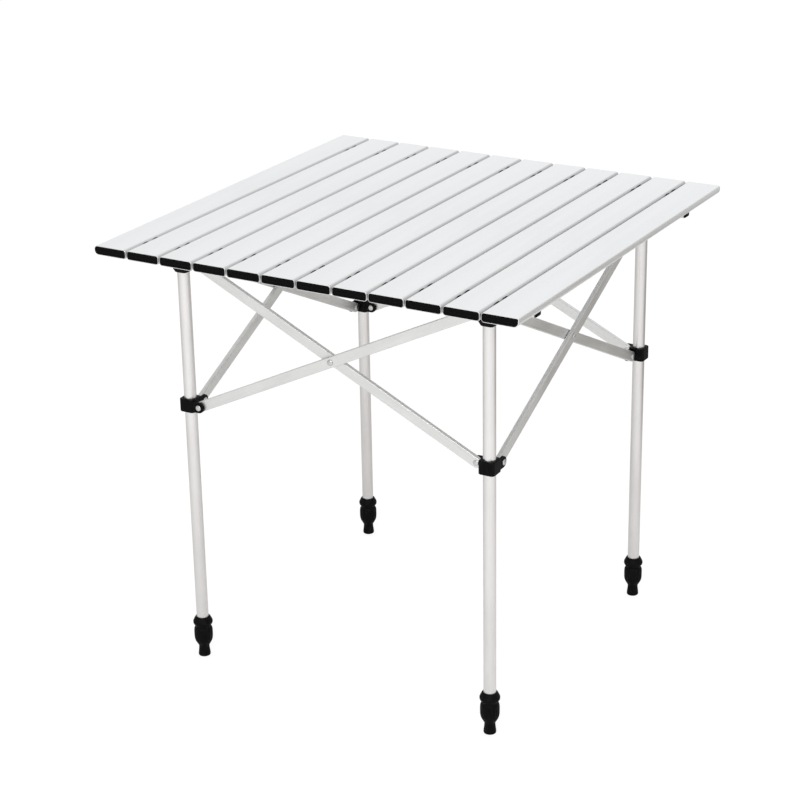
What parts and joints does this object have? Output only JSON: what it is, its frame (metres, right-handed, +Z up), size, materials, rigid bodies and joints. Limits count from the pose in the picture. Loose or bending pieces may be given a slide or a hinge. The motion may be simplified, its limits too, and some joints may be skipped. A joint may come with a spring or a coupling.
{
  "type": "folding side table",
  "caption": "Square roll-up slatted aluminium table on upright tube legs with crossed folding braces, sliding collars and screw feet.",
  "frame": {"origin": "on the floor under the middle of the tabletop", "axes": "+X to the right along the front edge and across the slats, +Y from front to back along the slats, +Z up"},
  "size_m": [0.7, 0.7, 0.7],
  "materials": {
    "slat_aluminium": "satin anodised extrusion",
    "tube_aluminium": "satin tube",
    "brace_aluminium": "satin extrusion",
    "rail_aluminium": "satin extrusion",
    "rivet_metal": "plain rivet",
    "joint_plastic": "black moulded nylon",
    "foot_plastic": "black moulded plastic, slightly rough",
    "cap_plastic": "black moulded plastic"
  },
  "bodies": {
    "leg_front_left": {"leg_front_left": "tube_aluminium", "hub_front_left": "joint_plastic"},
    "brace_inner_front": {"brace_inner_front": "brace_aluminium", "rivets_inner_front": "rivet_metal"},
    "brace_outer_front": {"brace_outer_front": "brace_aluminium", "rivets_outer_front": "rivet_metal"},
    "brace_inner_right": {"brace_inner_right": "brace_aluminium", "rivets_inner_right": "rivet_metal"},
    "brace_outer_right": {"brace_outer_right": "brace_aluminium", "rivets_outer_right": "rivet_metal"},
    "brace_inner_back": {"brace_inner_back": "brace_aluminium", "rivets_inner_back": "rivet_metal"},
    "brace_outer_back": {"brace_outer_back": "brace_aluminium", "rivets_outer_back": "rivet_metal"},
    "brace_inner_left": {"brace_inner_left": "brace_aluminium", "rivets_inner_left": "rivet_metal"},
    "brace_outer_left": {"brace_outer_left": "brace_aluminium", "rivets_outer_left": "rivet_metal"},
    "leg_front_right": {"leg_front_right": "tube_aluminium", "hub_front_right": "joint_plastic"},
    "leg_back_right": {"leg_back_right": "tube_aluminium", "hub_back_right": "joint_plastic"},
    "leg_back_left": {"leg_back_left": "tube_aluminium", "hub_back_left": "joint_plastic"},
    "collar_front_left": {"collar_front_left": "joint_plastic"},
    "collar_front_right": {"collar_front_right": "joint_plastic"},
    "collar_back_right": {"collar_back_right": "joint_plastic"},
    "collar_back_left": {"collar_back_left": "joint_plastic"},
    "foot_front_left": {"foot_front_left": "foot_plastic"},
    "foot_front_right": {"foot_front_right": "foot_plastic"},
    "foot_back_right": {"foot_back_right": "foot_plastic"},
    "foot_back_left": {"foot_back_left": "foot_plastic"},
    "rail_front": {"rail_front": "rail_aluminium", "rail_plugs_front": "cap_plastic"},
    "rail_back": {"rail_back": "rail_aluminium", "rail_plugs_back": "cap_plastic"},
    "slat_01": {"slat_01": "slat_aluminium", "end_caps_01": "cap_plastic"},
    "slat_02": {"slat_02": "slat_aluminium", "end_caps_02": "cap_plastic"},
    "slat_03": {"slat_03": "slat_aluminium", "end_caps_03": "cap_plastic"},
    "slat_04": {"slat_04": "slat_aluminium", "end_caps_04": "cap_plastic"},
    "slat_05": {"slat_05": "slat_aluminium", "end_caps_05": "cap_plastic"},
    "slat_06": {"slat_06": "slat_aluminium", "end_caps_06": "cap_plastic"},
    "slat_07": {"slat_07": "slat_aluminium", "end_caps_07": "cap_plastic"},
    "slat_08": {"slat_08": "slat_aluminium", "end_caps_08": "cap_plastic"},
    "slat_09": {"slat_09": "slat_aluminium", "end_caps_09": "cap_plastic"},
    "slat_10": {"slat_10": "slat_aluminium", "end_caps_10": "cap_plastic"},
    "slat_11": {"slat_11": "slat_aluminium", "end_caps_11": "cap_plastic"},
    "slat_12": {"slat_12": "slat_aluminium", "end_caps_12": "cap_plastic"}
  },
  "joints": [
    {"name": "frame_fold", "type": "hinge", "parent": "leg_front_left", "child": "brace_inner_front", "pos_m": [-0.236, -0.258, 0.6615], "axis": [0, 1, 0], "range_deg": [0, 61]},
    {"name": "cross_front", "type": "hinge", "parent": "brace_inner_front", "child": "brace_outer_front", "pos_m": [0, -0.258, 0.5475], "axis": [0, 1, 0], "range_deg": [-122, 0]},
    {"name": "hub_pivot_front_right", "type": "hinge", "parent": "brace_outer_front", "child": "leg_front_right", "pos_m": [0.236, -0.258, 0.6615], "axis": [0, 1, 0], "range_deg": [0, 61]},
    {"name": "collar_pivot_front_right", "type": "hinge", "parent": "brace_inner_front", "child": "collar_front_right", "pos_m": [0.236, -0.258, 0.4335], "axis": [0, 1, 0], "range_deg": [-61, 0]},
    {"name": "collar_pivot_front_left", "type": "hinge", "parent": "brace_outer_front", "child": "collar_front_left", "pos_m": [-0.236, -0.258, 0.4335], "axis": [0, 1, 0], "range_deg": [0, 61]},
    {"name": "hub_pivot_left", "type": "hinge", "parent": "leg_front_left", "child": "brace_outer_left", "pos_m": [-0.258, -0.236, 0.6615], "axis": [-1, 0, 0], "range_deg": [0, 61]},
    {"name": "cross_left", "type": "hinge", "parent": "brace_outer_left", "child": "brace_inner_left", "pos_m": [-0.258, 0, 0.5475], "axis": [-1, 0, 0], "range_deg": [-122, 0]},
    {"name": "hub_pivot_back_left", "type": "hinge", "parent": "brace_inner_left", "child": "leg_back_left", "pos_m": [-0.258, 0.236, 0.6615], "axis": [-1, 0, 0], "range_deg": [0, 61]},
    {"name": "collar_pivot_back_left", "type": "hinge", "parent": "brace_outer_left", "child": "collar_back_left", "pos_m": [-0.258, 0.236, 0.4335], "axis": [-1, 0, 0], "range_deg": [-61, 0]},
    {"name": "hub_pivot_right", "type": "hinge", "parent": "leg_front_right", "child": "brace_inner_right", "pos_m": [0.258, -0.236, 0.6615], "axis": [-1, 0, 0], "range_deg": [0, 61]},
    {"name": "cross_right", "type": "hinge", "parent": "brace_inner_right", "child": "brace_outer_right", "pos_m": [0.258, 0, 0.5475], "axis": [-1, 0, 0], "range_deg": [-122, 0]},
    {"name": "hub_pivot_back_right", "type": "hinge", "parent": "brace_outer_right", "child": "leg_back_right", "pos_m": [0.258, 0.236, 0.6615], "axis": [-1, 0, 0], "range_deg": [0, 61]},
    {"name": "collar_pivot_back_right", "type": "hinge", "parent": "brace_inner_right", "child": "collar_back_right", "pos_m": [0.258, 0.236, 0.4335], "axis": [-1, 0, 0], "range_deg": [-61, 0]},
    {"name": "hub_pivot_back_inner", "type": "hinge", "parent": "leg_back_right", "child": "brace_inner_back", "pos_m": [0.236, 0.258, 0.6615], "axis": [0, -1, 0], "range_deg": [0, 61]},
    {"name": "hub_pivot_back_outer", "type": "hinge", "parent": "leg_back_left", "child": "brace_outer_back", "pos_m": [-0.236, 0.258, 0.6615], "axis": [0, 1, 0], "range_deg": [0, 61]},
    {"name": "foot_screw_front_left", "type": "slide", "parent": "leg_front_left", "child": "foot_front_left", "axis": [0, 0, -1], "range_m": [0, 0.015]},
    {"name": "foot_screw_front_right", "type": "slide", "parent": "leg_front_right", "child": "foot_front_right", "axis": [0, 0, -1], "range_m": [0, 0.015]},
    {"name": "foot_screw_back_right", "type": "slide", "parent": "leg_back_right", "child": "foot_back_right", "axis": [0, 0, -1], "range_m": [0, 0.015]},
    {"name": "foot_screw_back_left", "type": "slide", "parent": "leg_back_left", "child": "foot_back_left", "axis": [0, 0, -1], "range_m": [0, 0.015]},
    {"name": "top_lift", "type": "slide", "parent": "leg_front_left", "child": "slat_01", "axis": [0, 0, 1], "range_m": [0, 0.25]},
    {"name": "rail_lift_front", "type": "slide", "parent": "leg_front_left", "child": "rail_front", "axis": [0, 0, 1], "range_m": [0, 0.1]},
    {"name": "rail_lift_back", "type": "slide", "parent": "leg_back_left", "child": "rail_back", "axis": [0, 0, 1], "range_m": [0, 0.1]},
    {"name": "roll_02", "type": "hinge", "parent": "slat_01", "child": "slat_02", "pos_m": [-0.2925, 0, 0.7], "axis": [0, -1, 0], "range_deg": [0, 44]},
    {"name": "roll_03", "type": "hinge", "parent": "slat_02", "child": "slat_03", "pos_m": [-0.234, 0, 0.7], "axis": [0, -1, 0], "range_deg": [0, 44.5]},
    {"name": "roll_04", "type": "hinge", "parent": "slat_03", "child": "slat_04", "pos_m": [-0.1755, 0, 0.7], "axis": [0, -1, 0], "range_deg": [0, 46]},
    {"name": "roll_05", "type": "hinge", "parent": "slat_04", "child": "slat_05", "pos_m": [-0.117, 0, 0.7], "axis": [0, -1, 0], "range_deg": [0, 48]},
    {"name": "roll_06", "type": "hinge", "parent": "slat_05", "child": "slat_06", "pos_m": [-0.0585, 0, 0.7], "axis": [0, -1, 0], "range_deg": [0, 50]},
    {"name": "roll_07", "type": "hinge", "parent": "slat_06", "child": "slat_07", "pos_m": [0, 0, 0.7], "axis": [0, -1, 0], "range_deg": [0, 52.5]},
    {"name": "roll_08", "type": "hinge", "parent": "slat_07", "child": "slat_08", "pos_m": [0.0585, 0, 0.7], "axis": [0, -1, 0], "range_deg": [0, 55.5]},
    {"name": "roll_09", "type": "hinge", "parent": "slat_08", "child": "slat_09", "pos_m": [0.117, 0, 0.7], "axis": [0, -1, 0], "range_deg": [0, 58.5]},
    {"name": "roll_10", "type": "hinge", "parent": "slat_09", "child": "slat_10", "pos_m": [0.1755, 0, 0.7], "axis": [0, -1, 0], "range_deg": [0, 62]},
    {"name": "roll_11", "type": "hinge", "parent": "slat_10", "child": "slat_11", "pos_m": [0.234, 0, 0.7], "axis": [0, -1, 0], "range_deg": [0, 66]},
    {"name": "roll_12", "type": "hinge", "parent": "slat_11", "child": "slat_12", "pos_m": [0.2925, 0, 0.7], "axis": [0, -1, 0], "range_deg": [0, 70]}
  ],
  "couplings": [
    {"joint": "cross_front", "follows": "frame_fold", "ratio": -2},
    {"joint": "hub_pivot_front_right", "follows": "frame_fold", "ratio": 1},
    {"joint": "collar_pivot_front_right", "follows": "frame_fold", "ratio": -1},
    {"joint": "collar_pivot_front_left", "follows": "frame_fold", "ratio": 1},
    {"joint": "hub_pivot_left", "follows": "frame_fold", "ratio": 1},
    {"joint": "cross_left", "follows": "frame_fold", "ratio": -2},
    {"joint": "hub_pivot_back_left", "follows": "frame_fold", "ratio": 1},
    {"joint": "collar_pivot_back_left", "follows": "frame_fold", "ratio": -1},
    {"joint": "hub_pivot_right", "follows": "frame_fold", "ratio": 1},
    {"joint": "cross_right", "follows": "frame_fold", "ratio": -2},
    {"joint": "hub_pivot_back_right", "follows": "frame_fold", "ratio": 1},
    {"joint": "collar_pivot_back_right", "follows": "frame_fold", "ratio": -1},
    {"joint": "hub_pivot_back_inner", "follows": "frame_fold", "ratio": 1},
    {"joint": "hub_pivot_back_outer", "follows": "frame_fold", "ratio": 1},
    {"joint": "rail_lift_front", "follows": "top_lift", "ratio": 0.4},
    {"joint": "rail_lift_back", "follows": "top_lift", "ratio": 0.4},
    {"joint": "roll_03", "follows": "roll_02", "ratio": 1.0113},
    {"joint": "roll_04", "follows": "roll_02", "ratio": 1.0454},
    {"joint": "roll_05", "follows": "roll_02", "ratio": 1.0909},
    {"joint": "roll_06", "follows": "roll_02", "ratio": 1.1363},
    {"joint": "roll_07", "follows": "roll_02", "ratio": 1.1931},
    {"joint": "roll_08", "follows": "roll_02", "ratio": 1.2613},
    {"joint": "roll_09", "follows": "roll_02", "ratio": 1.3295},
    {"joint": "roll_10", "follows": "roll_02", "ratio": 1.409},
    {"joint": "roll_11", "follows": "roll_02", "ratio": 1.4999},
    {"joint": "roll_12", "follows": "roll_02", "ratio": 1.5909}
  ]
}
